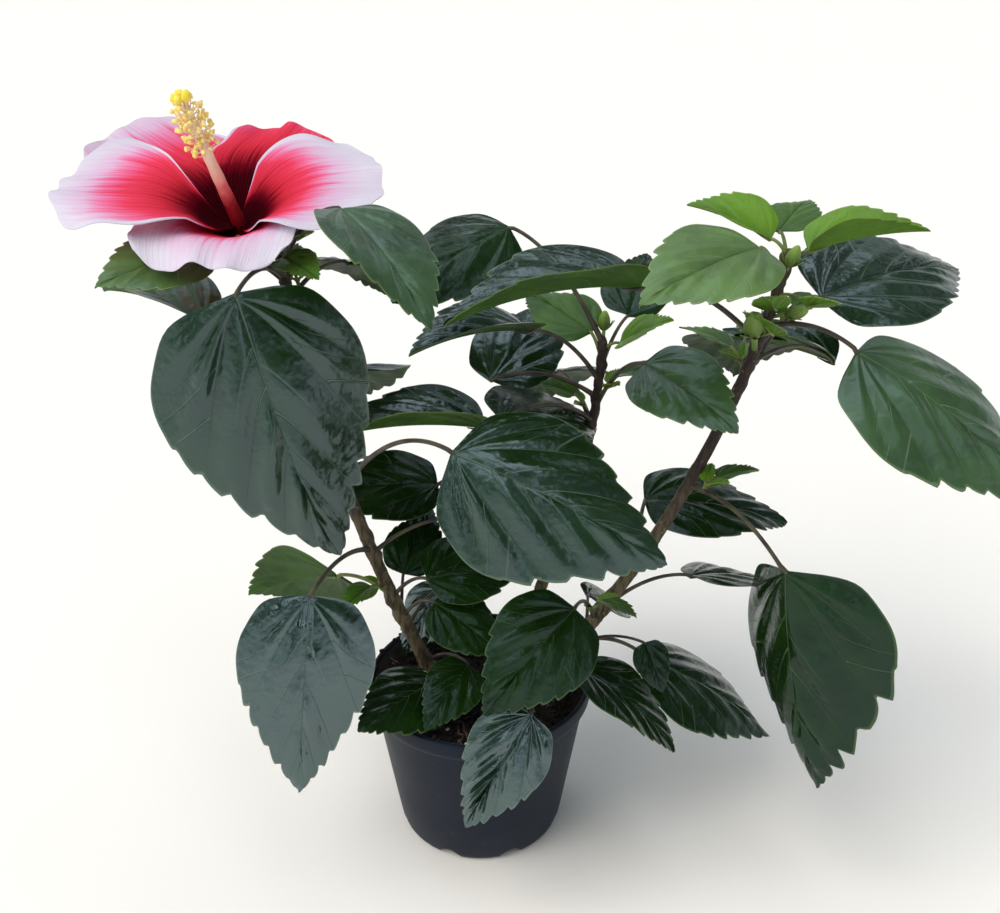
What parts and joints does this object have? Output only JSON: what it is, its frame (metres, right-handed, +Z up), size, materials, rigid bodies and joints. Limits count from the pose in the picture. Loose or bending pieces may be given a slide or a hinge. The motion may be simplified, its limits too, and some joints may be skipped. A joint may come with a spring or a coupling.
{
  "type": "potted hibiscus shrub",
  "caption": "Potted flowering shrub with leaning woody stems, broad toothed leaves on long stalks and a large ruffled bloom, in a round plastic nursery pot.",
  "frame": {"origin": "centre of the pot's flat underside", "axes": "+Z up, +X along the plant's longest spread, to the right as seen from the front, and -Y towards the front"},
  "size_m": [0.4616, 0.2538, 0.3996],
  "materials": {
    "pot": "matte slate-black moulded plastic",
    "compost": "damp dark peat with pale grit and fibres",
    "bark": "grey-brown bark with pale corky dots",
    "foliage": "waxy dark green leaves, lighter at the shoot tips",
    "petal": "satin petals, maroon throat through crimson and pink to a white edge"
  },
  "bodies": {
    "root": {"crown_left": "foliage", "crown_middle": "foliage", "crown_right": "foliage", "flower": "petal", "pot": "pot", "soil": "compost", "spray_left_1": "foliage", "spray_left_10": "foliage", "spray_left_11": "foliage", "spray_left_12": "foliage", "spray_left_2": "foliage", "spray_left_3": "foliage", "spray_left_4": "foliage", "spray_left_5": "foliage", "spray_left_6": "foliage", "spray_left_7": "foliage", "spray_left_8": "foliage", "spray_left_9": "foliage", "spray_middle_1": "foliage", "spray_middle_2": "foliage", "spray_middle_3": "foliage", "spray_right_1": "foliage", "spray_right_2": "foliage", "spray_right_3": "foliage", "spray_right_4": "foliage", "spray_right_5": "foliage", "spray_right_6": "foliage", "spray_right_7": "foliage", "spray_right_8": "foliage", "spray_right_9": "foliage", "stem_left": "bark", "stem_middle": "bark", "stem_right": "bark"}
  },
  "joints": []
}
